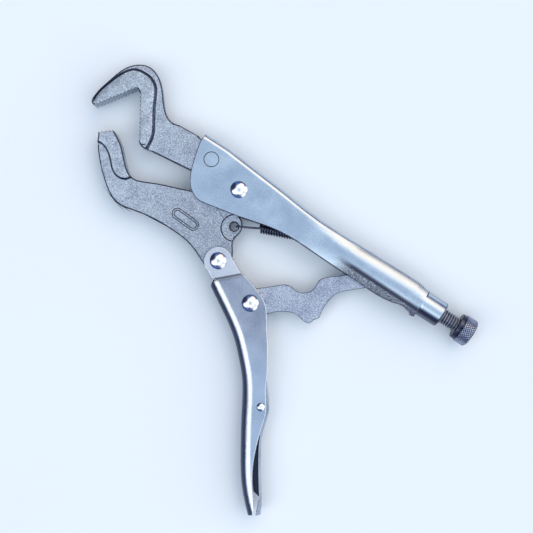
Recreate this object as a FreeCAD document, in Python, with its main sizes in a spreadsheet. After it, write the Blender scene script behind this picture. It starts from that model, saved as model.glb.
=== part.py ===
import FreeCAD, Part
import math
import os
import Sketcher
from FreeCAD import Placement, Rotation, Vector

# Parrot-nosed locking pliers lying on one side, fully open, in millimetres.
# Every plate is drawn in the pivot frame: X runs from the jaws to the knob, along the screw,
# Y runs towards the fixed handle's back, the main pivot is at 0, 0 and Z is 0 at mid thickness.
# The placements then move the whole tool so that its origin is under the middle of its box.

doc = FreeCAD.newDocument("locking_pliers")
sizes = doc.addObject("Spreadsheet::Sheet", "Sizes")

DRIVING = {
    "sheet_thick": 2.2,        # both handles, folded from sheet
    "jaw_thick": 8.6,          # fixed jaw's shank, gripped between the handle's walls
    "moving_jaw_thick": 8.0,
    "pad_thick": 12.4,         # serrated ends of both jaws
    "pad_chamfer": 1.7,
    "step_chamfer": 1.1,
    "ear_wide": 13.0,          # movable handle's ears, pressed in over the jaw
    "body_wide": 14.0,         # movable handle, across its folded back
    "back_round": 6.6,
    "ear_gap": 8.6,
    "link_thick": 4.0,
    "link_boss": 9.0,
    "lever_wide": 8.8,
    "lever_sheet": 1.5,
    "rivet_shank": 6.0,
    "rivet_head": 10.2,
    "rivet_dome": 2.0,
    "running_fit": 0.05,
    "flush_head": 8.4,
    "flush_shank": 6.4,
    "pin_shank": 3.0,
    "pin_head": 5.0,
    "pin_dome": 1.0,
    "screw_dia": 9.4,
    "thread_pitch": 1.6,
    "thread_deep": 0.75,
    "nose_dia": 6.4,
    "spigot_dia": 7.0,
    "collar_dia": 15.4,
    "knob_dia": 17.0,
    "wire_dia": 1.2,
    "coil_dia": 6.1,
    "lug_recess": 1.3,
    "axis_across": 3.2,        # screw axis, from the main pivot
    "lift": 9.1,               # mid thickness above the surface that the tool lies on
    "shift_along": -29.8,
    "shift_across": 62.9,
}
for line, (alias, value) in enumerate(DRIVING.items(), start=1):
    sizes.set("A%d" % line, alias)
    sizes.set("B%d" % line, "%g" % value)
    sizes.setAlias("B%d" % line, alias)
doc.recompute()

MAIN_PIVOT = (0.0, 0.0)
HANDLE_PIVOT = (12.4, -41.4)
LINK_PIVOT = (41.6, -51.9)
LINK_END = (95.5, -0.5)
LEVER_PIVOT = (79.7, -99.3)
LUG_CENTRE = (9.9, -20.1)
LUG_HOLE = (9.2, -19.5)
FLUSH_RIVET = (-23.1, 6.1)

HUB_ROUND = 9.5          # movable jaw round the main pivot
HUB_GAP = 0.6
HUB_NOTCH = 222          # where the movable jaw leaves its hub, in degrees
BITE = 0.95              # depth of the jaw teeth
NOSE_START = 102.1
THREAD_START = 106.0
COLLAR_END = 140.0
KNOB_START = 150.4
KNOB_END = 160.6
FAR = 60.0               # longer than any cut has to be


def get(alias):
    return float(sizes.get(alias))


# ---------------------------------------------------------------- drawing helpers

def place(item, along=0.0, across=0.0):
    """Puts an object's own origin at this place of the pivot frame, at mid thickness."""
    item.setExpression("Placement.Base.x", "Sizes.shift_along + %g" % along)
    item.setExpression("Placement.Base.y", "Sizes.shift_across + %g" % across)
    item.setExpression("Placement.Base.z", "Sizes.lift")


def new_body(label, along=0.0, across=0.0):
    body = doc.addObject("PartDesign::Body", label)
    body.Label = label
    place(body, along, across)
    return body


def new_sketch(body, name, role="XY_Plane", offset=0.0):
    plane = [item for item in body.Origin.OriginFeatures if item.Role == role][0]
    sketch = body.newObject("Sketcher::SketchObject", body.Name + "_" + name)
    sketch.AttachmentSupport = (plane, "")
    sketch.MapMode = "FlatFace"
    sketch.AttachmentOffset = Placement(Vector(0, 0, offset), Rotation())
    sketch.Visibility = False
    return sketch


def draw(sketch, start, *runs):
    """Draws a chain of lines, arcs and smooth curves, each going on from the last point."""
    here = Vector(start[0], start[1], 0)
    for kind, *points in runs:
        points = [Vector(x, y, 0) for x, y in points]
        if kind == "line":
            for point in points:
                sketch.addGeometry(Part.LineSegment(here, point))
                here = point
        elif kind == "arc":
            sketch.addGeometry(Part.Arc(here, points[0], points[1]))
            here = points[1]
        else:
            sketch.addGeometry(smooth([here] + points))
            here = points[-1]


def smooth(points):
    curve = Part.BSplineCurve()
    curve.interpolate(points)
    return curve


def polar(centre, radius, degrees):
    angle = math.radians(degrees)
    return centre[0] + radius * math.cos(angle), centre[1] + radius * math.sin(angle)


def inset(points, distance):
    """The points of a run moved sideways, to the left of the way it runs."""
    moved = []
    for number, (x, y) in enumerate(points):
        before = points[max(number - 1, 0)]
        after = points[min(number + 1, len(points) - 1)]
        length = math.hypot(after[0] - before[0], after[1] - before[1])
        moved.append((x - (after[1] - before[1]) / length * distance,
                      y + (after[0] - before[0]) / length * distance))
    return moved


def saw_teeth(start, end, count, bite):
    """Points of a row of steps from start to end, which dip to the left of that line."""
    along = ((end[0] - start[0]) / count, (end[1] - start[1]) / count)
    length = math.hypot(*along)
    dip = (-along[1] / length * bite, along[0] / length * bite)
    points = []
    for tooth in range(count):
        for part, depth in ((0.45, 1.0), (1.0, 0.0)):
            points.append((start[0] + along[0] * (tooth + part) + dip[0] * depth,
                           start[1] + along[1] * (tooth + part) + dip[1] * depth))
    return points


# ---------------------------------------------------------------- feature helpers

def pad(body, sketch, thickness):
    """Pads a sketch to both sides of mid thickness."""
    feature = body.newObject("PartDesign::Pad", sketch.Name + "_pad")
    feature.Profile = sketch
    feature.Midplane = True
    feature.setExpression("Length", thickness)
    doc.recompute()
    return feature


def cut(body, sketch, thickness="%g" % FAR):
    """Cuts a sketch out to both sides of its plane and checks that something went."""
    before = body.Shape.Volume
    feature = body.newObject("PartDesign::Pocket", sketch.Name + "_cut")
    feature.Profile = sketch
    feature.Midplane = True
    feature.setExpression("Length", thickness)
    doc.recompute()
    if body.Shape.Volume > before - 0.01:
        raise RuntimeError(sketch.Name + " cuts nothing")
    return feature


def drill(body, name, centre, radius):
    """Drills right through; the radius is an expression on the sheet."""
    sketch = new_sketch(body, name)
    sketch.addGeometry(Part.Circle(Vector(centre[0], centre[1], 0), Vector(0, 0, 1), 1.0))
    sketch.addConstraint(Sketcher.Constraint("Radius", 0, 1.0))
    sketch.setExpression("Constraints[0]", radius)
    cut(body, sketch)


def loft(body, kind, sketches):
    feature = body.newObject("PartDesign::" + kind, body.Name + "_" + kind)
    feature.Profile = sketches[0]
    feature.Sections = sketches[1:]
    feature.Ruled = True
    doc.recompute()
    return feature


def turn(body, outline):
    """Turns an outline of (along, radius) points about the body's own X axis."""
    sketch = new_sketch(body, "profile")
    draw(sketch, outline[-1], ("line", *outline))
    feature = body.newObject("PartDesign::Revolution", body.Name + "_turned")
    feature.Profile = sketch
    feature.ReferenceAxis = (sketch, ["H_Axis"])
    feature.Angle = 360.0
    doc.recompute()
    return feature


def edges_where(shape, test):
    """Names of the edges that pass the test near their ends and at their middle."""
    names = []
    for number, edge in enumerate(shape.Edges, start=1):
        low, high = edge.ParameterRange
        spots = [edge.valueAt(low + (high - low) * part) for part in (0.02, 0.5, 0.98)]
        if all(test(spot) for spot in spots):
            names.append("Edge%d" % number)
    return names


def dress(body, kind, size_name, size, test):
    """Rounds or chamfers the edges that pass the test."""
    base = body.Tip
    names = edges_where(base.Shape, test)
    if not names:
        raise RuntimeError("no edge found on " + body.Label)
    feature = body.newObject("PartDesign::" + kind, "%s_%s%d" % (body.Name, kind, len(body.Group)))
    feature.Base = (base, names)
    feature.setExpression(size_name, size)
    doc.recompute()
    return feature


def on_level(points, level, reach=0.05):
    """A test for spots over a smooth curve through the points, at this distance from mid."""
    edge = smooth([Vector(x, y, 0) for x, y in points]).toShape()

    def test(spot):
        if abs(abs(spot.z) - level) > 0.01:
            return False
        return edge.distToShape(Part.Vertex(spot.x, spot.y, 0))[0] < reach
    return test


# ---------------------------------------------------------------- jaws

def make_fixed_jaw():
    body = new_body("fixed_jaw")
    beak = saw_teeth((-81.9, 17.4), (-96.9, -4.4), 12, -BITE)
    heel = saw_teeth((-64.8, -7.2), (-79.2, 16.0), 11, -BITE)
    mouth = [("arc", (-61.2, -9.9), (-64.8, -7.2)), ("line", *heel), ("line", (-81.9, 17.4)),
             ("line", *beak), ("arc", (-99.4, -4.2), (-100.9, -1.5))]
    heel_foot = (-58.2, -9.4)
    shank_top = 12.9
    hub = HUB_ROUND + HUB_GAP

    rim = [(-100.6, -14.0), (-101.0, -4.0), (-100.8, 2.2), (-98.0, 12.6), (-94.2, 21.6),
           (-89.6, 26.6), (-83.6, 28.0), (-77.2, 27.2), (-73.0, 24.4), (-68.0, 15.8),
           (-61.8, 5.4), (-58.6, -1.0), (-57.7, -6.0), (-57.6, -14.0)]
    block = new_sketch(body, "serrated_block")
    draw(block, rim[0], ("curve", *rim[1:]), ("line", rim[0]))
    pad(body, block, "Sizes.pad_thick")
    dress(body, "Chamfer", "Size", "Sizes.pad_chamfer", on_level(rim, get("pad_thick") / 2))
    bite = new_sketch(body, "mouth")
    draw(bite, heel_foot, *mouth, ("line", (-112.0, -1.5), (-112.0, -20.0), (-50.0, -20.0),
                                   (-50.0, -9.4), heel_foot))
    cut(body, bite)

    web = new_sketch(body, "web")
    shank_end = polar(MAIN_PIVOT, hub, 200)
    hub_top = polar(MAIN_PIVOT, hub, 135)
    draw(web, shank_end, ("line", heel_foot), *mouth,
         ("curve", (-101.0, 2.2), (-98.6, 12.6), (-95.0, 23.0), (-90.0, 29.0), (-83.6, 31.9),
          (-76.6, 30.5), (-69.8, 25.2), (-62.0, 16.0), (-57.5, 12.7), (-50.0, 12.8)),
         ("line", (-37.0, 13.6), (-35.0, shank_top), (hub_top[0], shank_top - 1.0), hub_top),
         ("arc", polar(MAIN_PIVOT, hub, 168), shank_end))
    pad(body, web, "Sizes.jaw_thick")

    drill(body, "rivet_hole", FLUSH_RIVET, "Sizes.flush_shank / 2")
    return body


def make_movable_jaw():
    body = new_body("movable_jaw")
    lug = 8.2
    tip = (-80.6, -10.8)
    teeth = saw_teeth(tip, (-87.2, -16.3), 4, 0.8 * BITE)
    throat = [(-58.4, -27.4), (-63.0, -24.2), (-71.9, -15.7), (-76.6, -12.6), tip]

    step = [(-84.4, -21.6), (-80.3, -21.7), (-75.7, -24.0), (-71.0, -28.5), (-67.0, -31.6),
            (-63.0, -32.5), (-59.3, -31.5), (-56.8, -28.6)]
    block = new_sketch(body, "serrated_block")
    draw(block, tip, ("line", *teeth), ("line", step[0]), ("curve", *step[1:]),
         ("line", throat[0]), ("curve", *throat[1:]))
    pad(body, block, "Sizes.pad_thick")
    dress(body, "Chamfer", "Size", "Sizes.step_chamfer", on_level(step, get("pad_thick") / 2))

    web = new_sketch(body, "web")
    draw(web, tip, ("line", *teeth),
         ("curve", (-83.4, -23.3), (-75.2, -32.7), (-65.9, -40.6), (-59.8, -44.1), (-53.7, -45.2),
          (-45.3, -43.7), (-33.7, -41.6), (-17.0, -41.1), (-6.0, -42.6), (2.0, -45.8),
          polar(HANDLE_PIVOT, lug, 238)),
         ("arc", polar(HANDLE_PIVOT, lug, 300), polar(HANDLE_PIVOT, lug, 42)),
         ("curve", (15.6, -30.8), (13.3, -26.6), (14.1, -20.4), (12.2, -15.3), (8.6, -13.0)),
         ("line", polar(MAIN_PIVOT, HUB_ROUND, -25)),
         ("arc", polar(MAIN_PIVOT, HUB_ROUND, 90), polar(MAIN_PIVOT, HUB_ROUND, HUB_NOTCH)),
         ("line", (-14.0, -11.8), (-22.9, -15.4)),
         ("curve", (-31.3, -18.7), (-41.4, -22.5), (-50.0, -26.4), (-54.7, -27.9), throat[0]),
         ("curve", *throat[1:]))
    pad(body, web, "Sizes.moving_jaw_thick")

    floor = get("moving_jaw_thick") / 2 - get("lug_recess") + FAR / 2
    for name, side in (("upper_recess", 1), ("lower_recess", -1)):
        recess = new_sketch(body, name, offset=side * floor)
        recess.addGeometry(Part.Circle(Vector(*LUG_CENTRE, 0), Vector(0, 0, 1), 7.5))
        cut(body, recess)
    drill(body, "lug_hole", LUG_HOLE, "2.4")
    drill(body, "main_pivot_hole", MAIN_PIVOT, "Sizes.rivet_shank / 2 + Sizes.running_fit")
    drill(body, "handle_pivot_hole", HANDLE_PIVOT, "Sizes.rivet_shank / 2 + Sizes.running_fit")
    return body


# ---------------------------------------------------------------- fixed handle

# Stations along the fixed handle: place along X, top of the back, half width at the widest,
# radius of the fold, length of the crown above the widest place, curvature of the crown above
# it and below it, and the lowest point before trimming.
FOLDS = [
    (-36.0, 17.0, 6.5, 3.5, 0.3, 0.002, 0.0002, -20.0),
    (-18.0, 17.0, 6.5, 3.5, 0.3, 0.002, 0.0002, -20.0),
    (8.0, 15.1, 6.5, 3.7, 0.5, 0.003, 0.0002, -17.0),
    (24.0, 13.8, 6.6, 3.9, 1.2, 0.008, 0.0004, -14.0),
    (38.0, 12.4, 6.8, 4.0, 2.6, 0.018, 0.003, -11.0),
    (50.0, 11.4, 7.0, 3.8, 4.4, 0.034, 0.010, -9.0),
    (64.0, 11.3, 7.2, 3.3, 6.4, 0.060, 0.024, -8.8),
    (78.0, 11.6, 7.2, 2.8, 7.5, 0.075, 0.032, -8.6),
    (90.0, 11.9, 7.2, 2.7, 7.6, 0.077, 0.037, -8.2),
    (99.0, 12.1, 7.2, 2.7, 7.6, 0.077, 0.044, -7.9),
    (110.0, 12.3, 7.2, 2.7, 7.6, 0.077, 0.050, -7.6),
    (118.0, 12.3, 7.2, 2.7, 7.6, 0.077, 0.050, -7.0),
    (126.0, 11.2, 7.2, 2.7, 7.2, 0.077, 0.050, -6.6),
]


def fold_section(body, name, station, shrink):
    """One section of the folded, crowned sheet; shrink 0 is the outside."""
    along, top, half, fold, crown, upper, lower, low = station
    sketch = new_sketch(body, name, "YZ_Plane", along)
    lean = math.asin(crown * upper)
    widest = top - fold - crown + fold * math.sin(lean)
    fold = max(fold - shrink, 0.5)
    top = top - shrink
    half = half - shrink
    if shrink:
        low = low - 0.3

    def upper_crown(angle):
        radius = 1.0 / upper - shrink
        return widest + radius * math.sin(angle), half - radius * (1.0 - math.cos(angle))

    def lower_crown(across):
        radius = 1.0 / lower - shrink
        return across, half - radius + math.sqrt(radius ** 2 - (widest - across) ** 2)

    fold_start = upper_crown(lean)
    fold_centre = (top - fold, fold_start[1] - fold * math.cos(lean))
    bend = (math.pi / 2 + lean) / 2
    right = [lower_crown(low), lower_crown((low + widest) / 2), (widest, half),
             upper_crown(lean / 2), fold_start,
             (fold_centre[0] + fold * math.sin(bend), fold_centre[1] + fold * math.cos(bend)),
             (top, fold_centre[1])]
    left = [(across, -aside) for across, aside in right]
    draw(sketch, right[0], ("arc", *right[1:3]), ("arc", *right[3:5]), ("arc", *right[5:7]),
         ("line", left[6]), ("arc", left[5], left[4]), ("arc", left[3], left[2]),
         ("arc", left[1], left[0]), ("line", right[0]))
    return sketch


def make_fixed_handle():
    body = new_body("fixed_handle")
    outside = [fold_section(body, "outside%d" % number, station, 0.0)
               for number, station in enumerate(FOLDS)]
    loft(body, "AdditiveLoft", outside)
    inside_stations = [(-40.0,) + FOLDS[0][1:]] + FOLDS[1:-1] + [(121.5,) + FOLDS[-2][1:]]
    inside = [fold_section(body, "inside%d" % number, station, get("sheet_thick"))
              for number, station in enumerate(inside_stations)]
    loft(body, "SubtractiveLoft", inside)

    trim = new_sketch(body, "trim")
    draw(trim, (-34.0, 20.0), ("line", (-34.0, 15.6)),
         ("curve", (-34.2, 11.8), (-32.7, 4.8), (-29.5, -5.9), (-24.4, -14.1), (-19.6, -17.1),
          (-15.0, -17.9)),
         ("curve", (-4.7, -15.9), (8.7, -13.1), (24.1, -9.2), (38.0, -7.0), (50.0, -6.8),
          (72.0, -7.3), (90.0, -7.4), (106.0, -7.2), (113.0, -5.8), (118.0, -4.6),
          (121.0, -5.0), (124.0, -6.3)),
         ("line", (124.0, -30.0), (-50.0, -30.0), (-50.0, 20.0), (-34.0, 20.0)))
    cut(body, trim)

    collar = get("collar_dia") / 2
    bore = get("screw_dia") / 2 + get("running_fit")
    axis = get("axis_across")
    ring = new_sketch(body, "collar")
    draw(ring, (121.0, axis + bore),
         ("line", (COLLAR_END, axis + bore), (COLLAR_END, axis + collar - 0.8),
          (COLLAR_END - 0.8, axis + collar), (127.5, axis + collar), (124.0, axis + collar - 0.6),
          (121.0, axis + collar - 0.6), (121.0, axis + bore)))
    spindle = Vector(0, axis, 0)
    sleeve = body.newObject("PartDesign::Revolution", "collar_turned")
    ring.addGeometry(Part.LineSegment(spindle, spindle + Vector(COLLAR_END, 0, 0)), True)
    sleeve.Profile = ring
    sleeve.ReferenceAxis = (ring, ["Axis0"])
    sleeve.Angle = 360.0
    doc.recompute()
    through = new_sketch(body, "screw_bore", "YZ_Plane", COLLAR_END)
    through.addGeometry(Part.Circle(Vector(axis, 0, 0), Vector(0, 0, 1), bore))
    before = body.Shape.Volume
    bored = body.newObject("PartDesign::Pocket", "screw_bore_cut")
    bored.Profile = through
    bored.Midplane = True
    bored.Length = 2 * (COLLAR_END - 120.0)
    doc.recompute()
    if body.Shape.Volume > before - 0.01:
        raise RuntimeError("the screw bore cuts nothing")

    tab = new_sketch(body, "spring_tab")
    draw(tab, (58.6, 10.4), ("line", (58.6, 1.2), (60.4, 1.2), (60.4, 10.4), (58.6, 10.4)))
    pad(body, tab, "3.2")
    drill(body, "main_rivet_hole", MAIN_PIVOT, "Sizes.rivet_shank / 2")
    drill(body, "flush_rivet_hole", FLUSH_RIVET, "Sizes.flush_head / 2")
    return body


# ---------------------------------------------------------------- movable handle and its lever

BACK = [(16.4, -56.2), (26.1, -62.1), (34.5, -67.2), (43.6, -73.5), (52.6, -81.8), (61.1, -91.1),
        (72.5, -109.0), (83.3, -126.7), (94.9, -143.5), (104.5, -153.8), (108.4, -157.4)]
RIM = [(28.4, -40.1), (36.0, -41.8), (42.4, -44.0), (48.0, -46.8), (52.6, -51.4), (57.7, -58.9),
       (63.0, -66.3), (68.3, -74.4), (73.7, -83.6), (76.6, -89.4), (80.4, -94.8), (84.3, -101.2),
       (86.2, -107.3), (88.4, -115.0), (91.7, -124.3), (96.6, -134.7), (103.5, -144.7),
       (108.9, -152.0)]
EAR_FOOT = (15.6, -51.9)
LEVER_BACK = [(113.9, -152.4), (110.0, -145.0), (103.0, -135.0), (96.4, -125.0), (90.6, -115.0),
              (87.4, -106.4), (85.2, -99.2), (81.4, -93.2), (76.6, -87.4), (72.0, -81.0)]


def make_movable_handle():
    body = new_body("movable_handle")
    blank = new_sketch(body, "blank")
    past_tail = (BACK[-1][0] + 9.0, BACK[-1][1] - 8.4)
    draw(blank, EAR_FOOT, ("line", RIM[0], (60.0, -38.0), (132.0, -142.0), past_tail),
         ("curve", *BACK[::-1]), ("line", EAR_FOOT))
    pad(body, blank, "Sizes.body_wide")
    dress(body, "Fillet", "Radius", "Sizes.back_round",
          on_level(BACK + [past_tail], get("body_wide") / 2))
    trim = new_sketch(body, "rim_trim")
    draw(trim, RIM[0], ("curve", *RIM[1:]),
         ("line", (110.2, -155.2), BACK[-1], (100.0, -166.0), (150.0, -180.0), (150.0, -30.0),
          (28.4, -30.0), RIM[0]))
    cut(body, trim)
    joggle = dress(body, "Chamfer", "Size", "(Sizes.body_wide - Sizes.ear_wide) / 2",
                   on_level([EAR_FOOT, RIM[0]], get("body_wide") / 2))
    joggle.ChamferType = "Two distances"
    joggle.Size2 = 1.6
    doc.recompute()

    ear = new_sketch(body, "ear")
    ear_round = 8.2
    band = 1.7
    draw(ear, (28.4 + band, -40.5),
         ("curve", (24.0, -38.5), (21.0, -36.9), polar(HANDLE_PIVOT, ear_round, 45)),
         ("arc", polar(HANDLE_PIVOT, ear_round, 160), polar(HANDLE_PIVOT, ear_round, 262)),
         ("line", (13.8, -51.2), EAR_FOOT, (19.6, -50.0), (28.4 + band, -40.5)))
    pad(body, ear, "Sizes.ear_wide")
    sheet = get("sheet_thick")
    inner_back = inset(BACK, sheet)
    gap = new_sketch(body, "ear_gap")
    draw(gap, (32.0, -36.0), ("line", (0.0, -28.0), (-2.0, -50.0), (12.0, -53.6)),
         ("line", inner_back[0], inner_back[1], (32.0, -36.0)))
    cut(body, gap, "Sizes.ear_gap")
    core = doc.addObject("PartDesign::Body", "handle_hollow")
    hollow = new_sketch(core, "hollow")
    draw(hollow, inner_back[0], ("curve", *inner_back[1:-1]),
         ("line", (120.0, -148.0), (60.0, -30.0), (28.4 + band, -38.0), (28.4 + band, -40.5),
          inner_back[0]))
    pad(core, hollow, "Sizes.body_wide - 2 * Sizes.sheet_thick")
    dress(core, "Fillet", "Radius", "Sizes.back_round - Sizes.sheet_thick",
          on_level(inner_back[:-1], get("body_wide") / 2 - sheet))
    hollowed = body.newObject("PartDesign::Boolean", "movable_handle_hollowed")
    hollowed.Type = "Cut"
    hollowed.setObjects([core])
    doc.recompute()
    drill(body, "handle_rivet_hole", HANDLE_PIVOT, "Sizes.rivet_shank / 2")
    drill(body, "link_rivet_hole", LINK_PIVOT, "Sizes.rivet_shank / 2")
    drill(body, "lever_pin_hole", LEVER_PIVOT, "Sizes.pin_shank / 2")
    return body


def make_release_lever():
    body = new_body("release_lever")
    sheet = get("lever_sheet")
    inner = inset(LEVER_BACK, sheet)[::-1]
    strip = new_sketch(body, "strip")
    draw(strip, LEVER_BACK[0], ("curve", *LEVER_BACK[1:]), ("line", inner[0]),
         ("curve", *inner[1:-1]), ("line", (111.9, -154.6), LEVER_BACK[0]))
    pad(body, strip, "Sizes.lever_wide")
    cheeks = new_sketch(body, "cheeks")
    draw(cheeks, LEVER_BACK[-1], ("curve", *LEVER_BACK[-2:3:-1]),
         ("line", (87.6, -113.6)),
         ("curve", (82.0, -106.0), (76.4, -102.4), (73.2, -94.0), (70.0, -83.0)),
         ("line", LEVER_BACK[-1]))
    pad(body, cheeks, "Sizes.lever_wide")
    inner_cheek = new_sketch(body, "between_cheeks")
    draw(inner_cheek, inner[0], ("curve", *inner[1:7]),
         ("line", (86.0, -118.0), (70.0, -108.0), (66.0, -84.0), inner[0]))
    cut(body, inner_cheek, "Sizes.lever_wide - 2 * Sizes.lever_sheet")
    level = (get("lever_wide") - sheet) / 2
    rim_side = inset(RIM[13:17], 0.4)
    strip_side = inset(LEVER_BACK[1:5], sheet / 2)
    flange = new_sketch(body, "lower_flange", offset=-level)
    draw(flange, rim_side[0], ("curve", *rim_side[1:]), ("line", strip_side[0]),
         ("curve", *strip_side[1:]), ("line", rim_side[0]))
    pad(body, flange, "Sizes.lever_sheet")
    drill(body, "pin_hole", LEVER_PIVOT, "Sizes.pin_shank / 2 + Sizes.running_fit")
    return body


def make_toggle_link():
    body = new_body("toggle_link")
    boss = 7.5
    end = 4.2
    web = new_sketch(body, "web")
    draw(web, polar(LINK_PIVOT, boss, 150),
         ("curve", (38.0, -44.6), (42.4, -40.8), (49.7, -34.3), (53.6, -31.4), (57.0, -30.9),
          (60.5, -31.3), (64.9, -29.7), (67.7, -26.6), (68.4, -22.0), (68.4, -18.4),
          (70.3, -15.6), (74.9, -11.7), (79.2, -8.0)),
         ("line", polar(LINK_END, end, 132)),
         ("arc", polar(LINK_END, end, 40), polar(LINK_END, end, -47)),
         ("line", (88.7, -11.9)),
         ("curve", (83.5, -16.6), (81.2, -19.4), (79.9, -23.5), (79.2, -28.5), (79.6, -34.0),
          (80.2, -37.3)),
         ("line", (78.3, -39.9), (77.2, -43.2)),
         ("curve", (74.0, -43.8), (67.5, -43.0), (62.3, -44.6), (57.1, -48.1), (52.2, -53.4),
          polar(LINK_PIVOT, boss, -35)),
         ("arc", polar(LINK_PIVOT, boss, 240), polar(LINK_PIVOT, boss, 150)))
    pad(body, web, "Sizes.link_thick")
    rim = new_sketch(body, "boss")
    rim.addGeometry(Part.Circle(Vector(*LINK_PIVOT, 0), Vector(0, 0, 1), boss))
    pad(body, rim, "Sizes.link_boss")
    drill(body, "pivot_hole", LINK_PIVOT, "Sizes.rivet_shank / 2 + Sizes.running_fit")
    return body


# ---------------------------------------------------------------- rivets and pins

def cylinder(name, radius, height, low):
    """A Part::Cylinder along Z whose three sizes are expressions on the sheet."""
    item = doc.addObject("Part::Cylinder", name)
    item.setExpression("Radius", radius)
    item.setExpression("Height", height)
    item.setExpression("Placement.Base.z", low)
    return item


def make_rivet(label, centre, grip, shank, head, dome):
    """A rivet through a stack of this width, with a low dome on a short rim at both ends."""
    parts = [cylinder(label + "_shank", shank + " / 2", grip, "-(%s) / 2" % grip)]
    ball = "((%s / 2) ^ 2 + %s ^ 2) / (2 * %s)" % (head, dome, dome)
    reach = "Sizes.lift" if dome == "Sizes.rivet_dome" else "(%s) / 2 + %s + 0.1" % (grip, dome)
    for name, side in (("_top", 1), ("_tail", -1)):
        rim = "%s - %s - (%s) / 2" % (reach, dome, grip)
        low = "(%s) / 2" % grip if side > 0 else "%s - (%s)" % (dome, reach)
        parts.append(cylinder(label + name + "_rim", head + " / 2", rim, low))
        cap = doc.addObject("Part::Sphere", label + name + "_dome")
        cap.setExpression("Radius", ball)
        cap.setExpression("Angle1", "asin(1 - %s / (%s))" % (dome, ball))
        cap.Angle2 = 90.0
        middle = "%s - (%s)" % (reach, ball)
        cap.setExpression("Placement.Base.z", middle if side > 0 else "-(%s)" % middle)
        if side < 0:
            cap.Placement.Rotation = Rotation(Vector(1, 0, 0), 180)
        parts.append(cap)
    rivet = doc.addObject("Part::MultiFuse", label)
    rivet.Label = label
    rivet.Shapes = parts
    rivet.Refine = True
    place(rivet, *centre)
    doc.recompute()
    return rivet


def make_jaw_rivet():
    """Flush at both walls: its heads fill the wall holes and its shank the jaw's hole."""
    wide = "Sizes.jaw_thick + 2 * Sizes.sheet_thick"
    parts = [cylinder("jaw_rivet_shank", "Sizes.flush_shank / 2", wide, "-(%s) / 2" % wide),
             cylinder("jaw_rivet_top", "Sizes.flush_head / 2", "Sizes.sheet_thick",
                      "Sizes.jaw_thick / 2"),
             cylinder("jaw_rivet_tail", "Sizes.flush_head / 2", "Sizes.sheet_thick",
                      "-Sizes.jaw_thick / 2 - Sizes.sheet_thick")]
    rivet = doc.addObject("Part::MultiFuse", "jaw_rivet")
    rivet.Label = "jaw_rivet"
    rivet.Shapes = parts
    rivet.Refine = True
    place(rivet, *FLUSH_RIVET)
    doc.recompute()
    return rivet


# ---------------------------------------------------------------- screw and spring

def make_adjusting_screw():
    body = new_body("adjusting_screw", 0.0, get("axis_across"))
    crest = get("screw_dia") / 2
    root = crest - get("thread_deep")
    pitch = get("thread_pitch")
    spigot = get("spigot_dia") / 2
    outline = [(THREAD_START, 0.0), (THREAD_START, root)]
    along = THREAD_START + 0.4
    while along + pitch < KNOB_START:
        outline += [(along, root), (along + 0.35 * pitch, crest), (along + 0.5 * pitch, crest),
                    (along + 0.85 * pitch, root)]
        along += pitch
    outline += [(KNOB_START, root), (KNOB_START, spigot), (KNOB_START + 6.0, spigot),
                (KNOB_START + 6.0, 0.0)]
    turn(body, outline)
    return body


def make_screw_nose():
    body = new_body("screw_nose", 0.0, get("axis_across"))
    radius = get("nose_dia") / 2
    turn(body, [(NOSE_START, 0.0), (NOSE_START, radius - 0.8), (NOSE_START + 0.8, radius),
                (THREAD_START, radius), (THREAD_START, 0.0)])
    return body


def make_screw_knob():
    body = new_body("screw_knob", 0.0, get("axis_across"))
    radius = get("knob_dia") / 2
    spigot = get("spigot_dia") / 2
    turn(body, [(KNOB_START, spigot), (KNOB_START, radius - 0.9), (KNOB_START + 0.7, radius - 0.2),
                (KNOB_START + 2.2, radius - 0.2), (KNOB_START + 2.5, radius - 0.7),
                (KNOB_START + 3.1, radius), (KNOB_END - 1.0, radius), (KNOB_END, radius - 1.0),
                (KNOB_END, 0.0), (KNOB_START + 6.0, 0.0), (KNOB_START + 6.0, spigot)])
    return body


def wire_run(points, radius):
    """A round wire along straight runs, with a ball at each bend."""
    shape = None
    for start, end in zip(points, points[1:]):
        run = Part.makeCylinder(radius, (end - start).Length, start, end - start)
        ball = Part.makeSphere(radius, end)
        shape = run.fuse(ball) if shape is None else shape.fuse([run, ball])
    return shape


def make_return_spring():
    """A coil between two straight legs: one hooks the lug, the other the handle's tab."""
    wire = get("wire_dia") / 2
    mean = get("coil_dia") / 2 - wire
    coil_start = Vector(22.5, -12.1, 0)
    coil_end = Vector(54.5, 0.7, 0)
    axis = coil_end - coil_start
    turns = 21
    helix = Part.makeHelix(axis.Length / turns, axis.Length, mean)
    section = Part.Wire(Part.makeCircle(wire, Vector(mean, 0, 0), Vector(0, 1, 0)))
    coil = Part.Wire(helix.Edges).makePipeShell([section], True, True)
    coil.Placement = Placement(coil_start, Rotation(Vector(0, 0, 1), axis))
    way = Vector(axis).normalize()
    up = Vector(0, 0, 1)
    across = Rotation(Vector(0, 0, 1), axis).multVec(Vector(mean, 0, 0))
    hook = Vector(10.4, -18.7, 0)
    tab = Vector(61.3, 2.6, 0)
    reach = get("moving_jaw_thick") / 2 - get("lug_recess") + wire + 0.15
    lug_run = [coil_start + across, coil_start - way * 0.9, Vector(15.4, -16.1, reach),
               hook + up * reach, hook - up * reach, Vector(15.0, -16.3, -reach)]
    tab_run = [coil_end + across, coil_end + way * 1.2, Vector(57.6, 2.6, 2.5), tab + up * 2.5,
               tab - up * 2.5, Vector(57.8, 2.6, -2.5)]
    solid = coil.fuse([wire_run(lug_run, wire), wire_run(tab_run, wire)])
    item = doc.addObject("Part::Feature", "return_spring")
    item.Label = "return_spring"
    item.Shape = solid
    place(item)
    doc.recompute()
    return item


# ---------------------------------------------------------------- build and write

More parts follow.
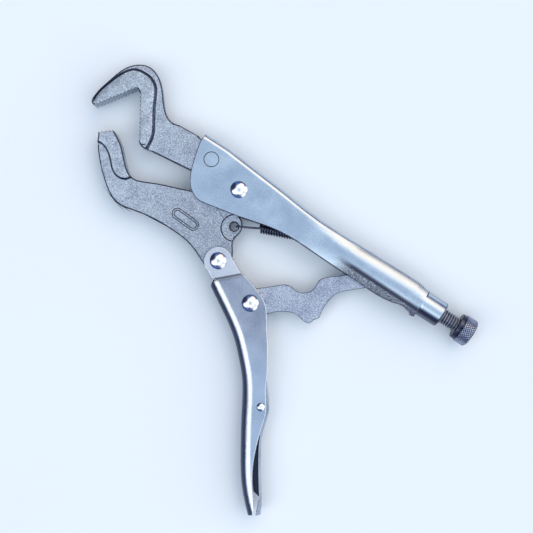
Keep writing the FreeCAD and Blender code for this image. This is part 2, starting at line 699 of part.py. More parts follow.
WALLS = "Sizes.jaw_thick + 2 * Sizes.sheet_thick"
nodes = [
    make_fixed_jaw(),
    make_movable_jaw(),
    make_fixed_handle(),
    make_movable_handle(),
    make_release_lever(),
    make_toggle_link(),
    make_rivet("main_pivot_rivet", MAIN_PIVOT, WALLS,
               "Sizes.rivet_shank", "Sizes.rivet_head", "Sizes.rivet_dome"),
    make_rivet("handle_pivot_rivet", HANDLE_PIVOT, "Sizes.ear_wide",
               "Sizes.rivet_shank", "Sizes.rivet_head", "Sizes.rivet_dome"),
    make_rivet("link_pivot_rivet", LINK_PIVOT, "Sizes.body_wide",
               "Sizes.rivet_shank", "Sizes.rivet_head", "Sizes.rivet_dome"),
    make_rivet("lever_pin", LEVER_PIVOT, "Sizes.body_wide",
               "Sizes.pin_shank", "Sizes.pin_head", "Sizes.pin_dome"),
    make_jaw_rivet(),
    make_adjusting_screw(),
    make_screw_nose(),
    make_screw_knob(),
    make_return_spring(),
]
doc.recompute()

for item in doc.Objects:
    if "Invalid" in item.State or "Error" in item.State:
        raise RuntimeError("%s did not build: %s" % (item.Name, item.State))
for item in nodes:
    if item.Shape.isNull() or not item.Shape.isValid():
        raise RuntimeError(item.Label + " has no valid shape")

os.makedirs("parts", exist_ok=True)
for item in nodes:
    item.Shape.exportStep("parts/%s.step" % item.Label)
    box = item.Shape.BoundBox
    print("%-20s volume %8.1f solids %d  x %.2f %.2f  y %.2f %.2f  z %.2f %.2f" % (
        item.Label, item.Shape.Volume, len(item.Shape.Solids),
        box.XMin, box.XMax, box.YMin, box.YMax, box.ZMin, box.ZMax))
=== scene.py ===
import math

import bpy
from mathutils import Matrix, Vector


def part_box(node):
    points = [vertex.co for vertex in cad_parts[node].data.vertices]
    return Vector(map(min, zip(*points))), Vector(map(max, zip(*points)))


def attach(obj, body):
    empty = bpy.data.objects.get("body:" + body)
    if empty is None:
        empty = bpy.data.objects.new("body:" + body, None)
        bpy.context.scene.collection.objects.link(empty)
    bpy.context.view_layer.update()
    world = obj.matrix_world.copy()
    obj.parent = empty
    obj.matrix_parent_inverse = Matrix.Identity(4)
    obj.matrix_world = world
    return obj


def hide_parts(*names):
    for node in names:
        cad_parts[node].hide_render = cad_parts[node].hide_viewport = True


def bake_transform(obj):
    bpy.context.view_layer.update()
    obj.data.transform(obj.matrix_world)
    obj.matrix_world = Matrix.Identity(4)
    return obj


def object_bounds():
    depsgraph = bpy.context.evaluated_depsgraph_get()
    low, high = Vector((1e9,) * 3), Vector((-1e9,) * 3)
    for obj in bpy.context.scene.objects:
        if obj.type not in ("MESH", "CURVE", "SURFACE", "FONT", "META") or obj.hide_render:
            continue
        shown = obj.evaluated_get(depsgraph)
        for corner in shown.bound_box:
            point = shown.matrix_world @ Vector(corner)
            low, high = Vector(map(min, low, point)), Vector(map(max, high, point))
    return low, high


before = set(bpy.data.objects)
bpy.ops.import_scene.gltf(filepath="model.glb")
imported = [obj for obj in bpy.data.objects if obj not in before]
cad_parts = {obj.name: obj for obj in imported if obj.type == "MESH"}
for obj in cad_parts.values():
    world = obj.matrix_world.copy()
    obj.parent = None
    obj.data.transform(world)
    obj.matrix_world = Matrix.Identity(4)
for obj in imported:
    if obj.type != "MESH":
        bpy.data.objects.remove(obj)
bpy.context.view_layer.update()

# Locking pliers lying open on a table, in metres.
# Places are given in millimetres from the main pivot: along the screw, across it towards the
# fixed handle's back, and up from the middle of the tool's thickness.

MM = 0.001
SAME_POINT = 0.001          # millimetres between corners that count as one
SAME_WOUND_POINT = 0.002    # the same on a piece that was spun or wound
SHARP = 28.0                # degrees between faces from which an edge is broken
TOOTH_REACH = 1.5           # millimetres beside a row's line that belong to its teeth
TOOTH_EDGE = 0.22           # millimetres taken off a tooth's edges
TOOTH_SHARP = 40.0          # degrees, the same limit on the teeth


def middle(node):
    low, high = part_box(node)
    return (low + high) / 2


PIVOT = middle("main_pivot_rivet")


def at(along, across, up=0.0):
    return PIVOT + Vector((along, across, up)) * MM


# ---------------------------------------------------------------- shader helpers

class Value:
    """A socket that takes part in sums as a number does."""

    def __init__(self, finish, socket):
        self.finish = finish
        self.socket = socket

    def sum_with(self, operation, first, second):
        node = self.finish.node("Math", {"operation": operation}, {0: first, 1: second})
        return Value(self.finish, node.outputs[0])

    def __add__(self, other):
        return self.sum_with("ADD", self, other)

    def __radd__(self, other):
        return self.sum_with("ADD", other, self)

    def __sub__(self, other):
        return self.sum_with("SUBTRACT", self, other)

    def __rsub__(self, other):
        return self.sum_with("SUBTRACT", other, self)

    def __mul__(self, other):
        return self.sum_with("MULTIPLY", self, other)

    def __rmul__(self, other):
        return self.sum_with("MULTIPLY", other, self)

    def __abs__(self):
        return self.sum_with("ABSOLUTE", self, 0.0)


class Finish:
    """The nodes of one material."""

    def __init__(self, name, tree=None):
        self.material = None
        if tree is None:
            self.material = bpy.data.materials.new(name)
            self.material.use_nodes = True
            tree = self.material.node_tree
        self.tree = tree
        tree.nodes.clear()

    def node(self, kind, settings=None, inputs=None):
        """Adds a node; its settings and colour stops come first, then its sockets."""
        node = self.tree.nodes.new("ShaderNode" + kind)
        for name, value in (settings or {}).items():
            if name == "stops":
                self.set_stops(node.color_ramp, value)
            else:
                setattr(node, name, value)
        for name, value in (inputs or {}).items():
            if isinstance(value, Value):
                self.tree.links.new(value.socket, node.inputs[name])
            else:
                node.inputs[name].default_value = value
        return node

    def set_stops(self, ramp, stops):
        while len(ramp.elements) < len(stops):
            ramp.elements.new(0.5)
        for element, (place, colour) in zip(ramp.elements, stops):
            element.position = place
            element.color = colour if len(colour) == 4 else (*colour, 1.0)

    def out(self, node, socket=0):
        return Value(self, node.outputs[socket])

    def place(self):
        return self.out(self.node("TexCoord"), "Object")

    def spot(self):
        """Millimetres along, across and up from the main pivot at mid thickness."""
        parts = self.node("SeparateXYZ", {}, {0: self.place()})
        return [self.out(parts, axis) * (1.0 / MM) - PIVOT[axis] / MM for axis in range(3)]

    def stretched(self, scale, turn=0.0):
        """Object coordinates, turned about Z and then scaled along each axis."""
        turned = self.node("Mapping", {"vector_type": "POINT"},
                           {"Vector": self.place(), "Rotation": (0.0, 0.0, turn)})
        scaled = self.node("VectorMath", {"operation": "MULTIPLY"},
                           {0: self.out(turned), 1: scale})
        return self.out(scaled)

    def noise(self, size_mm, detail=2.0, roughness=0.5, vector=None):
        """Cloudy noise whose patches are about this many millimetres wide."""
        node = self.node("TexNoise", {}, {"Vector": vector or self.place(), "Detail": detail,
                                          "Scale": 1.0 / (size_mm * MM), "Roughness": roughness})
        return self.out(node, "Fac")

    def spread(self, value, low, high, start=0.0, end=1.0):
        """Maps low..high to start..end, held at both ends."""
        node = self.node("MapRange", {"clamp": True},
                         {"Value": value, "From Min": low, "From Max": high,
                          "To Min": start, "To Max": end})
        return self.out(node)

    def blend(self, share, first, second):
        node = self.node("Mix", {"data_type": "RGBA"}, {0: share, 6: first, 7: second})
        return self.out(node, 2)

    def metal(self, colour, roughness, height, depth_mm):
        """Closes the material with a metal shader over a bump of this depth."""
        bump = self.node("Bump", {}, {"Height": height, "Distance": depth_mm * MM,
                                      "Strength": 1.0})
        shader = self.node("BsdfPrincipled", {},
                           {"Base Color": colour, "Roughness": roughness,
                            "Metallic": 1.0, "Normal": self.out(bump)})
        self.node("OutputMaterial", {}, {"Surface": self.out(shader)})
        return self.material


# ---------------------------------------------------------------- finishes

def blasted_nickel(name, grain_mm, depth_mm, light, dark):
    """Nickel plate over a shot-blasted forging: dull, with dark pits and bright crests, and
    painted shade that darkens it around the pivot.
    """
    finish = Finish(name)
    grain = finish.noise(grain_mm, 3.0, 0.62)
    fine = finish.noise(grain_mm * 0.5, 2.0, 0.5)
    cloud = finish.noise(7.0, 2.0, 0.5)
    pits = finish.spread(grain * 0.6 + fine * 0.4, 0.47, 0.36)
    crests = finish.spread(grain * 0.5 + fine * 0.5, 0.53, 0.64)
    tone = finish.spread(cloud * 0.6 + grain * 0.4, 0.36, 0.64)
    along = finish.spot()[0]
    # Painted shade: darker around the pivot, fading out towards the jaw tips and behind the pivot.
    pivot_shade = finish.spread(along, -58.0, -8.0, 0.0, 0.38) * finish.spread(along, 24.0, 16.0)
    colour = finish.blend(tone, (*dark, 1.0), (*light, 1.0))
    colour = finish.blend(pivot_shade, colour, (0.16, 0.18, 0.24, 1.0))
    colour = finish.blend(pits * 0.75, colour, (0.11, 0.13, 0.18, 1.0))
    colour = finish.blend(crests * 0.60, colour, (0.84, 0.90, 0.97, 1.0))
    roughness = finish.spread(grain * 0.6 + cloud * 0.4, 0.35, 0.65, 0.30, 0.46)
    return finish.metal(colour, roughness, grain * 0.7 + fine * 0.3, depth_mm)


def edge_plate(name, light, dark, smooth, rough):
    """The broken edges of a piece, in a plate of their own: dark, it is painted shade along them;
    bright, a painted highlight.
    """
    finish = Finish(name)
    grain = finish.noise(0.8, 2.0, 0.5)
    tone = finish.spread(grain, 0.35, 0.65)
    colour = finish.blend(tone, (*dark, 1.0), (*light, 1.0))
    roughness = finish.spread(grain, 0.3, 0.7, smooth, rough)
    return finish.metal(colour, roughness, grain, 0.03)


def satin_tone(finish, grain_mm, turn, light, dark, smooth, rough):
    """Colour, roughness and height of satin nickel plate with a little orange peel."""
    lines = finish.noise(1.0, 3.0, 0.6, finish.stretched((0.06, 1.0, 1.0), turn))
    grain = finish.noise(grain_mm, 2.0, 0.55)
    cloud = finish.noise(16.0, 2.0, 0.5)
    tone = finish.spread(cloud * 0.5 + grain * 0.35 + lines * 0.15, 0.38, 0.62)
    colour = finish.blend(tone, (*dark, 1.0), (*light, 1.0))
    roughness = finish.spread(cloud * 0.6 + grain * 0.4, 0.35, 0.65, smooth, rough)
    return colour, roughness, grain * 0.93 + lines * 0.07


def fixed_handle_plate():
    """Smooth in front; behind, the wall bends in below, where the press has left its grain rough
    and painted shade darkens it, most of all on the collar's lip; a painted dark line runs along
    the upper edge of that strip, and painted shade darkens the crown of the back.
    """
    finish = Finish("fixed_handle_plate")
    along, across, up = finish.spot()
    colour, roughness, height = satin_tone(finish, 0.55, 0.0, (0.54, 0.63, 0.71),
                                           (0.43, 0.51, 0.60), 0.21, 0.30)
    speck = finish.spread(finish.noise(0.6, 3.0, 0.75), 0.44, 0.60)
    # Speckled grain laid where the wall bends in below: partly the real rough grain the press
    # left, partly painted shade in its near-black specks.
    coarse_grain_shade = finish.blend(speck, (0.02, 0.025, 0.045, 1.0), (0.50, 0.54, 0.60, 1.0))
    # Painted shade: the collar's lower lip in dark plum.
    lip = finish.blend(speck, (0.10, 0.10, 0.16, 1.0), (0.16, 0.16, 0.23, 1.0))
    collar = finish.spread(along, 119.0, 122.0)
    below = finish.spread(across, -1.0, -2.2) * finish.spread(along, 68.0, 80.0)
    # Painted shade: a dark line along the upper edge of the bent-in strip.
    shade = finish.spread(across, 0.4, -1.2) * finish.spread(across, -3.6, -2.4)
    shade = shade * finish.spread(along, 68.0, 80.0)
    # Painted shade: darker grey-lilac along the crown of the back.
    back = finish.spread(abs(up), 4.4, 2.6) * finish.spread(across, 7.5, 9.0)
    colour = finish.blend(below * 0.85, colour, finish.blend(collar, coarse_grain_shade, lip))
    colour = finish.blend(shade * 0.92, colour, (0.03, 0.035, 0.065, 1.0))
    colour = finish.blend(back * 0.7, colour, (0.30, 0.29, 0.36, 1.0))
    return finish.metal(colour, roughness, height + below * speck * 7.0, 0.014)


def movable_handle_plate():
    """Satin sides; a painted highlight runs along each side of the folded back, and painted shade
    darkens the middle of the folded back, the hollow and the foot of the ears.
    """
    finish = Finish("movable_handle_plate")
    along, across, up = finish.spot()
    colour, roughness, height = satin_tone(finish, 0.6, math.radians(60.0), (0.43, 0.47, 0.55),
                                           (0.31, 0.34, 0.41), 0.25, 0.34)
    lower = finish.spread(across, -62.0, -86.0)
    colour = finish.blend(lower * 0.55, colour, (0.46, 0.57, 0.70, 1.0))
    # Painted highlight: a bright line along each side of the folded back.
    shine_highlight = finish.spread(abs(up), 5.8, 6.2) * finish.spread(abs(up), 6.99, 6.85)
    colour = finish.blend(shine_highlight * 0.5, colour, (0.88, 0.89, 0.90, 1.0))
    # Painted shade: the middle of the folded back and the hollow go almost black.
    fold_shade = finish.spread(abs(up), 5.9, 5.2) * finish.spread(abs(up), 0.5, 1.6)
    colour = finish.blend(fold_shade * 0.92, colour, (0.025, 0.03, 0.065, 1.0))
    # Painted shade: a dark band along the step at the foot of the ears.
    ear_along, ear_across = 15.8, -51.6
    step = (along - ear_along) * 0.688 - (across - ear_across) * 0.725
    foot = finish.spread(step, -0.5, 0.1) * finish.spread(step, 2.6, 0.5)
    colour = finish.blend(foot * 0.85, colour, (0.04, 0.045, 0.075, 1.0))
    return finish.metal(colour, roughness, height, 0.045)


def release_lever_plate():
    """Satin strip; painted shade darkens the inner face of its flange."""
    finish = Finish("release_lever_plate")
    up = finish.spot()[2]
    colour, roughness, height = satin_tone(finish, 0.6, math.radians(60.0), (0.46, 0.51, 0.58),
                                           (0.32, 0.36, 0.43), 0.25, 0.35)
    # Painted shade: the inner face of the flange goes almost black.
    flange = finish.spread(up, -1.6, -2.7) * finish.spread(up, -4.36, -4.28)
    colour = finish.blend(flange * 0.95, colour, (0.015, 0.02, 0.04, 1.0))
    return finish.metal(colour, roughness, height, 0.02)


def bright_plate(name):
    """Polished nickel with faint wiping marks."""
    finish = Finish(name)
    smear = finish.noise(2.5, 2.0, 0.5)
    colour = finish.blend(smear, (0.78, 0.79, 0.82, 1.0), (0.90, 0.90, 0.91, 1.0))
    roughness = finish.spread(smear, 0.35, 0.65, 0.05, 0.12)
    return finish.metal(colour, roughness, smear, 0.01)


def dark_plate(name, light, dark, smooth, rough, radius_mm=0.0, deep_mm=1.0):
    """Darker plate whose crests, when a radius is given, are lit by a painted highlight and whose
    roots are darkened by painted shade, for what turns on the screw's axis.
    """
    finish = Finish(name)
    grain = finish.noise(0.5, 3.0, 0.6)
    cloud = finish.noise(4.0, 2.0, 0.5)
    tone = finish.spread(grain * 0.5 + cloud * 0.5, 0.36, 0.64)
    # Painted highlight on the crests and painted shade in the roots, by distance from the screw's
    # axis.
    if radius_mm:
        axis = middle("adjusting_screw")
        moved = finish.node("Mapping", {"vector_type": "POINT"},
                            {"Vector": finish.place(), "Location": (0.0, -axis.y, -axis.z),
                             "Scale": (0.0, 1.0, 1.0)})
        length = finish.node("VectorMath", {"operation": "LENGTH"}, {0: finish.out(moved)})
        crest = finish.spread(finish.out(length, "Value"), (radius_mm - deep_mm) * MM,
                              radius_mm * MM)
        tone = crest * 0.8 + tone * 0.2
    colour = finish.blend(tone, (*dark, 1.0), (*light, 1.0))
    roughness = finish.spread(grain, 0.3, 0.7, smooth, rough)
    return finish.metal(colour, roughness, grain, 0.03)


# ---------------------------------------------------------------- modelling helpers

def deselect():
    for item in bpy.context.selected_objects:
        item.select_set(False)


def pick(item):
    deselect()
    item.select_set(True)
    bpy.context.view_layer.objects.active = item


def edit(item, kind="VERT"):
    """Opens a piece for editing with nothing selected."""
    pick(item)
    bpy.ops.object.mode_set(mode="EDIT")
    bpy.ops.mesh.select_mode(type=kind)
    bpy.ops.mesh.select_all(action="DESELECT")


def done():
    bpy.ops.object.mode_set(mode="OBJECT")


def edit_all(item):
    """Opens a piece for editing with all of it selected."""
    edit(item)
    bpy.ops.mesh.select_all(action="SELECT")


def settle():
    """Puts the picked piece's place, turn and size into its mesh."""
    bpy.ops.object.transform_apply(location=True, rotation=True, scale=True)


def axis_start(low, high):
    """The low end of the axis along X through the middle of a box."""
    return Vector((low.x, (low.y + high.y) / 2, (low.z + high.z) / 2))


def select_faces(item, test):
    """Selects the faces whose centre and normal pass the test, and opens the piece for editing."""
    edit(item, "FACE")
    done()
    for face in item.data.polygons:
        face.select = test(face.center, face.normal)
    bpy.ops.object.mode_set(mode="EDIT")


def apply_modifiers(item):
    pick(item)
    for modifier in list(item.modifiers):
        bpy.ops.object.modifier_apply(modifier=modifier.name)


def chain(name, points):
    """A run of edges through the points, extruded one after the other from a single vertex."""
    deselect()
    bpy.ops.mesh.primitive_plane_add(size=MM, location=points[0])
    item = bpy.context.object
    item.name = name
    settle()
    edit_all(item)
    bpy.ops.mesh.merge(type="CENTER")
    for before, after in zip(points, points[1:]):
        step = Vector(after) - Vector(before)
        bpy.ops.mesh.extrude_vertices_move(TRANSFORM_OT_translate={"value": step})
    done()
    return item


def turned(name, outline, axis_point, steps):
    """A shape turned about the line along X through a point, from (along, radius) pairs."""
    points = [axis_point + Vector((along, 0.0, radius)) * MM for along, radius in outline]
    item = chain(name, points)
    edit_all(item)
    bpy.ops.mesh.spin(steps=steps, angle=math.tau, center=axis_point, axis=(1.0, 0.0, 0.0))
    bpy.ops.mesh.select_all(action="SELECT")
    bpy.ops.mesh.remove_doubles(threshold=SAME_WOUND_POINT * MM)
    bpy.ops.mesh.normals_make_consistent(inside=False)
    done()
    return item


def finish_piece(item, node_names, body, material, smooth_angle=30.0):
    """Gives a piece its material and its soft shading, and puts it in place of its CAD nodes."""
    item.data.materials.clear()
    item.data.materials.append(material)
    pick(item)
    bpy.ops.object.shade_smooth_by_angle(angle=math.radians(smooth_angle))
    if node_names:
        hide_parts(*node_names)
    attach(item, body)


def finish_node(node, material, edge_mm, rim=None):
    """Keeps a CAD node, with its edges broken by a small round, and gives it its material."""
    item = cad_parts[node]
    item.data.materials.clear()
    item.data.materials.append(material)
    if rim:
        item.data.materials.append(rim)
    for face in item.data.polygons:
        face.use_smooth = True
    weld = item.modifiers.new("weld", "WELD")
    weld.merge_threshold = SAME_POINT * MM
    flat = item.modifiers.new("flat faces", "DECIMATE")
    flat.decimate_type = "DISSOLVE"
    flat.angle_limit = math.radians(0.4)
    bevel = item.modifiers.new("broken edges", "BEVEL")
    bevel.width = edge_mm * MM
    bevel.segments = 2
    bevel.limit_method = "ANGLE"
    bevel.angle_limit = math.radians(SHARP)
    bevel.use_clamp_overlap = False
    bevel.harden_normals = True
    bevel.miter_outer = "MITER_ARC"
    bevel.material = 1 if rim else -1
    normals = item.modifiers.new("even shading", "WEIGHTED_NORMAL")
    normals.keep_sharp = True


def copy_of(node):
    """A copy of a CAD node with its loose triangles joined."""
    pick(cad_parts[node])
    bpy.ops.object.duplicate()
    item = bpy.context.object
    item.name = node + "_finished"
    edit_all(item)
    bpy.ops.mesh.remove_doubles(threshold=SAME_POINT * MM)
    done()
    return item


def is_slope(face):
    return 0.25 < abs(face.normal.z) < 0.96


def mark_slopes(item):
    """Gives the sloping faces the second material and the rest the first."""
    for face in item.data.polygons:
        face.material_index = 1 if is_slope(face) else 0


def standing_edges(item):
    """The corners of the edges that stand out and don't border a sloping face."""
    beside = {}
    for face in item.data.polygons:
        for corners in face.edge_keys:
            beside.setdefault(corners, []).append(face)
    kept = set()
    for corners, faces in beside.items():
        if len(faces) != 2 or is_slope(faces[0]) or is_slope(faces[1]):
            continue
        if (faces[1].center - faces[0].center).dot(faces[0].normal) < 0.0:
            kept.add(corners)
    return kept


def break_edges(item, width_mm, test, segments, angle=SHARP):
    """Rounds the sharp edges that stand out and pass the test, in the second material."""
    kept = standing_edges(item)
    edit(item, "EDGE")
    bpy.ops.mesh.edges_select_sharp(sharpness=math.radians(angle))
    done()
    for side in item.data.edges:
        if side.select:
            first, last = (item.data.vertices[corner].co for corner in side.vertices)
            side.select = side.key in kept and test((first + last) / 2)
    bpy.ops.object.mode_set(mode="EDIT")
    bpy.ops.mesh.bevel(offset=width_mm * MM, segments=segments, affect="EDGES",
                       clamp_overlap=False, material=1, miter_outer="ARC")
    done()


# ---------------------------------------------------------------- finishes of this tool

forged = blasted_nickel("forged_nickel", 0.75, 0.20, (0.44, 0.50, 0.57), (0.28, 0.32, 0.39))
forged_link = blasted_nickel("forged_link", 0.7, 0.13, (0.40, 0.45, 0.54), (0.27, 0.31, 0.40))
# Dark plate for the forgings' rounded edges, sloping walls and tooth edges: painted shade where
# those faces would show the dark room.
forged_rim_shade = edge_plate("forged_rim_shade", (0.09, 0.10, 0.15), (0.02, 0.025, 0.05), 0.28, 0.40)
# Dark plate for the fixed handle's broken edges: painted shade, a dark outline along them.
sheet_rim_shade = edge_plate("sheet_rim_shade", (0.15, 0.16, 0.22), (0.05, 0.055, 0.09), 0.22, 0.34)
# Bright plate for the movable handle's broken edges: a painted highlight along them.
sheet_edge_highlight = edge_plate("sheet_edge_highlight", (0.86, 0.88, 0.92), (0.66, 0.69, 0.75), 0.20, 0.30)
fixed_sheet = fixed_handle_plate()
moving_sheet = movable_handle_plate()
strip = release_lever_plate()
bright = bright_plate("bright_rivet")
thread_plate = dark_plate("dark_screw", (0.40, 0.42, 0.48), (0.05, 0.06, 0.09), 0.28, 0.45,
                          4.7, 0.8)
knob_plate = dark_plate("dark_knob", (0.52, 0.58, 0.74), (0.015, 0.02, 0.045), 0.25, 0.42,
                        8.5, 0.4)
wire_plate = dark_plate("spring_wire", (0.12, 0.14, 0.20), (0.03, 0.04, 0.07), 0.25, 0.40)


# ---------------------------------------------------------------- jaws and link

def to_line(place, start, end):
    """Distance in millimetres from a place to the line between two places, seen from above."""
    run = end - start
    share = max(0.0, min(1.0, (place - start).dot(run) / run.dot(run)))
    away = place - start - run * share
    return math.hypot(away.x, away.y) / MM


def make_forging(node, body, material, rounding_mm, rows=(), visible_to=None):
    """A forging: its outline is rounded over, and its rounded edges, sloping step walls and the
    small breaks on its teeth take the dark rim plate, a painted shade; its rows of teeth stay
    crisp.
    """
    item = copy_of(node)
    item.data.materials.clear()
    item.data.materials.append(material)
    item.data.materials.append(forged_rim_shade)

    def near_teeth(place):
        return any(to_line(place, start, end) < TOOTH_REACH for start, end in rows)

    def away_from_teeth(place):
        return not near_teeth(place) and (visible_to is None or place.x < visible_to.x)

    # The sloping walls and the broken edges below take the second material, the dark rim plate:
    # painted shade.
    mark_slopes(item)
    break_edges(item, rounding_mm, away_from_teeth, 3)
    if rows:
        break_edges(item, TOOTH_EDGE, near_teeth, 1, TOOTH_SHARP)
    pick(item)
    bpy.ops.object.shade_smooth_by_angle(angle=math.radians(35.0))
    normals = item.modifiers.new("even shading", "WEIGHTED_NORMAL")
    normals.keep_sharp = True
    apply_modifiers(item)
    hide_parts(node)
    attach(item, body)


def make_jaw_panel():
    """A plain raised rim with round ends, forged on the face of the movable jaw."""
    face = at(0.0, 0.0, 4.0).z
    half_length = 5.6
    radius = 3.4
    sunk = 0.2          # how far it starts inside the jaw
    skirt = 0.25
    bank, crest = 0.50, 0.45
    land = 0.65
    floor = 0.42        # how far the middle lies below the rim
    deselect()
    bpy.ops.mesh.primitive_circle_add(vertices=40, radius=radius * MM, fill_type="NGON")
    item = bpy.context.object
    item.name = "movable_jaw_panel"
    settle()
    for side in (1, -1):
        edit(item)
        done()
        for corner in item.data.vertices:
            off_middle = abs(corner.co.x) > SAME_POINT * MM
            corner.select = corner.co.x * side > -SAME_POINT * MM and off_middle
        bpy.ops.object.mode_set(mode="EDIT")
        bpy.ops.transform.translate(value=(side * half_length * MM, 0.0, 0.0))
        done()
    edit_all(item)
    bpy.ops.mesh.extrude_region_move(TRANSFORM_OT_translate={"value": (0.0, 0.0, skirt * MM)})
    bpy.ops.mesh.inset(thickness=bank * MM, depth=crest * MM)
    bpy.ops.mesh.inset(thickness=land * MM, depth=0.0)
    bpy.ops.mesh.inset(thickness=bank * MM, depth=-floor * MM)
    bpy.ops.mesh.select_all(action="SELECT")
    bpy.ops.mesh.normals_make_consistent(inside=False)
    done()
    item.location = at(-17.0, -31.5, 0.0)
    item.location.z = face - sunk * MM
    item.rotation_euler.z = math.radians(-3.0)
    pick(item)
    settle()
    finish_piece(item, [], "moving_jaw", forged, 25.0)
    # Its sloping banks take the dark rim plate: painted shade.
    item.data.materials.append(forged_rim_shade)
    mark_slopes(item)


BEAK = (at(-81.9, 17.4), at(-96.9, -4.4))
HEEL = (at(-64.8, -7.2), at(-79.2, 16.0))
TIP = (at(-80.6, -10.8), at(-87.2, -16.3))
make_forging("fixed_jaw", "fixed_side", forged, 0.8, [BEAK, HEEL], at(-26.0, 0.0))
make_forging("movable_jaw", "moving_jaw", forged, 0.75, [TIP])
make_jaw_panel()
make_forging("toggle_link", "link", forged_link, 0.30)


# ---------------------------------------------------------------- CAD pieces that stay

# Its broken edges take the dark rim plate: painted shade.
finish_node("fixed_handle", fixed_sheet, 0.40, sheet_rim_shade)
# Its broken edges take the bright plate: painted highlight.
finish_node("movable_handle", moving_sheet, 0.35, sheet_edge_highlight)
finish_node("release_lever", strip, 0.2)
for rivet in ("main_pivot_rivet", "handle_pivot_rivet", "link_pivot_rivet", "lever_pin"):
    finish_node(rivet, bright, 0.12)
finish_node("jaw_rivet", fixed_sheet, 0.18, strip)
finish_node("screw_nose", thread_plate, 0.15)


# ---------------------------------------------------------------- screw

THREAD_PITCH = 1.6
THREAD_CREST = 4.7
THREAD_DEPTH = 0.75


def make_thread():
    """The screw's thread: one pitch of the outline, wound along the axis and cut off square."""
    low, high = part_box("adjusting_screw")
    knob_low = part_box("screw_knob")[0]
    axis = axis_start(low, high)
    length = (knob_low.x - low.x) / MM
    turns = math.ceil(length / THREAD_PITCH) + 2
    root = THREAD_CREST - THREAD_DEPTH
    outline = [(0.0, root), (0.12, root), (0.42, THREAD_CREST - 0.05), (0.48, THREAD_CREST),
               (0.58, THREAD_CREST), (0.64, THREAD_CREST - 0.05), (0.94, root), (1.0, root)]
    start = axis - Vector((THREAD_PITCH * MM, 0.0, 0.0))
    item = chain("adjusting_screw_thread",
                 [start + Vector((part * THREAD_PITCH, 0.0, radius)) * MM
                  for part, radius in outline])
    pick(item)
    bpy.context.scene.cursor.location = start
    bpy.ops.object.origin_set(type="ORIGIN_CURSOR")
    winding = item.modifiers.new("winding", "SCREW")
    winding.axis = "X"
    winding.angle = math.tau
    winding.screw_offset = THREAD_PITCH * MM
    winding.iterations = turns
    winding.steps = 48
    winding.render_steps = 48
    winding.use_merge_vertices = True
    winding.merge_threshold = SAME_WOUND_POINT * MM
    apply_modifiers(item)
    settle()
    for place, inner in ((low.x, True), (knob_low.x, False)):
        edit_all(item)
        bpy.ops.mesh.bisect(plane_co=(place, axis.y, axis.z), plane_no=(1.0, 0.0, 0.0),
                            use_fill=True, clear_inner=inner, clear_outer=not inner)
        done()
    edit_all(item)
    bpy.ops.mesh.normals_make_consistent(inside=False)
    done()
    finish_piece(item, ["adjusting_screw"], "screw", thread_plate, 35.0)


def make_knob():
    """The knob: a turned blank whose rim carries rows of small diamonds."""
    low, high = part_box("screw_knob")
    axis = axis_start(low, high)
    length = (high.x - low.x) / MM
    radius = (high.y - low.y) / 2 / MM
    rows = 4
    around = 34
    base = radius - 0.35
    diamond_inset = 0.36
    diamond_rise = 0.34
    band_start = 2.9
    band_end = length - 0.7
    outline = [(0.0, 0.0), (0.0, radius - 1.1), (0.25, radius - 0.75), (0.6, radius - 0.65),
               (2.1, radius - 0.65), (2.3, radius - 0.9), (2.55, radius - 0.9),
               (2.7, radius - 0.6)]
    outline += [(band_start + (band_end - band_start) * row / rows, base)
                for row in range(rows + 1)]
    outline += [(length - 0.25, base - 0.5), (length, base - 1.0), (length, base - 3.2),
                (length - 0.35, base - 3.6), (length - 0.35, 0.0)]
    item = turned("screw_knob_turned", outline, axis, around)
    first = axis.x + band_start * MM
    last = axis.x + band_end * MM

    def on_band(centre, normal):
        return first < centre.x < last and abs(normal.x) < 0.3

    select_faces(item, on_band)
    bpy.ops.mesh.poke()
    bpy.ops.mesh.tris_convert_to_quads(face_threshold=math.radians(60.0),
                                       shape_threshold=math.radians(180.0))
    bpy.ops.mesh.inset(thickness=diamond_inset * MM, depth=diamond_rise * MM, use_individual=True,
                       use_even_offset=False)
    done()
    finish_piece(item, ["screw_knob"], "screw", knob_plate, 25.0)


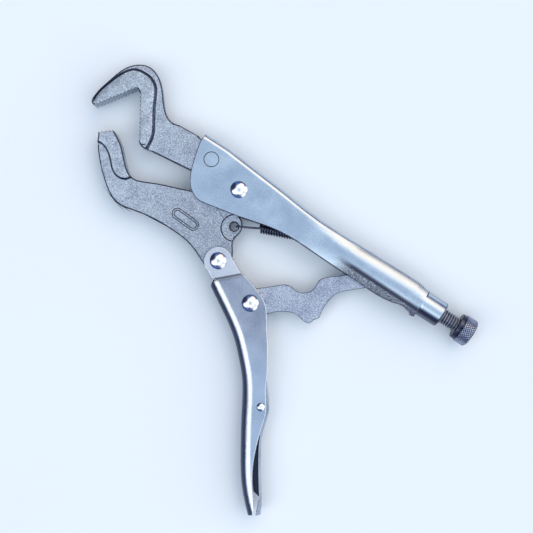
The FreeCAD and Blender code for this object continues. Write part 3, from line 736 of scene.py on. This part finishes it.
def make_spring():
    """The return spring: a hook through the jaw's lug, a close coil and a hook on the tab."""
    wire = 1.2
    coil_across = 6.1
    mean = (coil_across - wire) / 2
    coil_start = at(22.5, -12.1)
    coil_end = at(54.5, 0.7)
    way = (coil_end - coil_start).normalized()
    up = Vector((0.0, 0.0, 1.0))
    side = up.cross(way)
    turns = 22
    steps = 12
    length = (coil_end - coil_start).length
    points = [at(10.4, -18.7, -3.4), at(10.4, -18.7, -1.5), at(10.4, -18.7, 1.5),
              at(10.6, -18.6, 3.2), at(12.2, -17.6, 3.45), at(16.2, -15.6, 3.0),
              at(20.0, -13.6, 2.6)]
    for step in range(turns * steps + 1):
        angle = math.tau * step / steps
        points.append(coil_start + way * (length * step / (turns * steps))
                      + (up * math.cos(angle) + side * math.sin(angle)) * mean * MM)
    points += [at(57.2, 2.3, 2.5), at(59.8, 2.6, 2.5), at(61.3, 2.6, 2.2),
               at(61.3, 2.6, 0.0), at(61.3, 2.6, -2.2), at(59.0, 2.6, -2.5)]
    curve = bpy.data.curves.new("return_spring_wire", "CURVE")
    curve.dimensions = "3D"
    line = curve.splines.new("NURBS")
    line.points.add(len(points) - 1)
    for point, place in zip(line.points, points):
        point.co = (*place, 1.0)
    line.order_u = 3
    line.use_endpoint_u = True
    line.resolution_u = 3
    curve.bevel_depth = wire / 2 * MM
    curve.bevel_resolution = 3
    curve.use_fill_caps = True
    item = bpy.data.objects.new("return_spring_wire", curve)
    bpy.context.scene.collection.objects.link(item)
    pick(item)
    bpy.ops.object.convert(target="MESH")
    item = bpy.context.object
    item.data.materials.clear()
    item.data.materials.append(wire_plate)
    bpy.ops.object.shade_smooth_by_angle(angle=math.radians(40.0))
    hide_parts("return_spring")
    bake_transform(item)


make_thread()
make_knob()
make_spring()


# ---------------------------------------------------------------- floor, light and camera

def make_floor():
    deselect()
    bpy.ops.mesh.primitive_plane_add(size=6.0, location=(0.0, 0.0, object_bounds()[0].z))
    floor = bpy.context.object
    floor.name = "table_top"
    finish = Finish("pale_table")
    shade = finish.noise(180.0, 1.0, 0.5)
    colour = finish.blend(shade, (0.84, 0.90, 0.94, 1.0), (0.87, 0.925, 0.96, 1.0))
    shader = finish.node("BsdfPrincipled", {}, {"Base Color": colour, "Roughness": 0.9})
    finish.node("OutputMaterial", {}, {"Surface": finish.out(shader)})
    floor.data.materials.append(finish.material)


TURN_COSINE = 0.8387        # of the tool's turn in the frame
TURN_SINE = 0.5446
STUDIO_STRENGTH = 0.99
FRAME_RIGHT = Vector((TURN_COSINE, TURN_SINE, 0.0))
FRAME_UP = Vector((-TURN_SINE, TURN_COSINE, 0.0))


def towards(bearing, tilt):
    """A direction tilted from straight above; the bearing turns left from the frame's right."""
    flat = FRAME_RIGHT * math.cos(math.radians(bearing))
    flat += FRAME_UP * math.sin(math.radians(bearing))
    lean = math.radians(tilt)
    return flat * math.sin(lean) + Vector((0.0, 0.0, math.cos(lean)))


def make_world():
    """A soft room: pale blue overhead, dark walls, and large white panels round the table."""
    world = bpy.data.worlds.new("studio")
    bpy.context.scene.world = world
    world.use_nodes = True
    sky = Finish("studio", world.node_tree)
    ray = sky.out(sky.node("TexCoord"), "Generated")
    parts = sky.node("SeparateXYZ", {}, {0: ray})
    ramp = sky.node("ValToRGB", {"stops": WALLS}, {"Fac": sky.out(parts, "Z")})
    colour = sky.out(ramp)
    for bearing, tilt, inner, outer, light in PANELS:
        aim = sky.node("VectorMath", {"operation": "DOT_PRODUCT"},
                       {0: ray, 1: tuple(towards(bearing, tilt))})
        share = sky.spread(sky.out(aim, "Value"), math.cos(math.radians(outer)),
                           math.cos(math.radians(inner)))
        colour = sky.blend(share, colour, (*light, 1.0))
    shade = sky.node("Background", {}, {"Color": colour, "Strength": STUDIO_STRENGTH})
    sky.node("OutputWorld", {}, {"Surface": sky.out(shade)})


WALLS = [(0.0, (0.05, 0.10, 0.30)), (0.35, (0.06, 0.11, 0.31)), (0.58, (0.18, 0.28, 0.54)),
         (0.70, (0.60, 0.72, 0.92)), (0.80, (1.36, 1.50, 1.66)), (0.91, (1.40, 1.54, 1.70)),
         (0.97, (0.74, 0.87, 1.07)), (1.0, (0.58, 0.71, 0.91))]
# Bearing, tilt from straight above, radius of the even middle, radius of the soft edge, colour.
PANELS = [
    (57.0, 46.0, 6.0, 27.0, (2.35, 1.92, 1.52)),
    (5.0, 66.0, 12.0, 30.0, (1.60, 1.66, 1.75)),
    (-45.0, 68.0, 10.0, 28.0, (1.30, 1.36, 1.48)),
    (196.0, 42.0, 12.0, 28.0, (2.20, 2.28, 2.36)),
    (262.0, 50.0, 3.0, 14.0, (0.05, 0.07, 0.14)),
    (150.0, 62.0, 18.0, 40.0, (0.03, 0.04, 0.09)),
]


def make_camera():
    """Straight above, with the tool turned in the frame as it lies on the table."""
    reach = 0.70
    frame_width = 311.8 * MM
    data = bpy.data.cameras.new("camera")
    data.sensor_width = 36.0
    data.lens = data.sensor_width * reach / frame_width
    data.clip_start = 0.01
    camera = bpy.data.objects.new("camera", data)
    camera.location = at(37.9, -28.8, 4.0) + Vector((0.0, 0.0, reach))
    camera.rotation_euler = (0.0, 0.0, math.atan2(TURN_SINE, TURN_COSINE))
    bpy.context.scene.collection.objects.link(camera)
    bpy.context.scene.camera = camera


make_floor()
make_world()
make_camera()
bpy.context.scene.view_settings.view_transform = "Standard"
